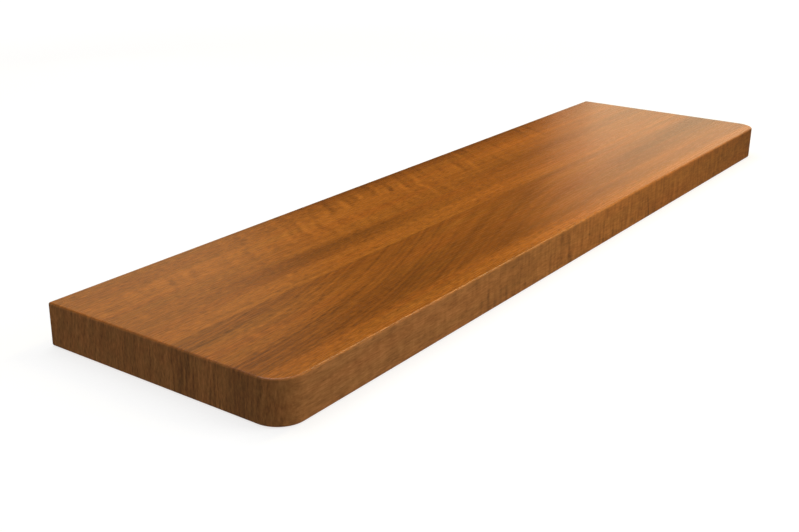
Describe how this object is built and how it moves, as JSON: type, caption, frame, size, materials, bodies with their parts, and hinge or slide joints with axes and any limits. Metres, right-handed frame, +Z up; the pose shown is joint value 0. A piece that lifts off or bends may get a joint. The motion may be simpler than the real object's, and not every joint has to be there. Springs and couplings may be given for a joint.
{
  "type": "window sill board",
  "caption": "Solid timber window sill board with rounded room-side corners, square wall-side corners and softly eased edges, laid under a window as its inner ledge.",
  "frame": {"origin": "middle of the underside", "axes": "+X along the window, +Y towards the wall, +Z up through the board's thickness"},
  "size_m": [1, 0.26, 0.04],
  "materials": {
    "timber": "warm brown hardwood under a satin clear lacquer"
  },
  "bodies": {
    "root": {"sill_board": "timber"}
  },
  "joints": []
}
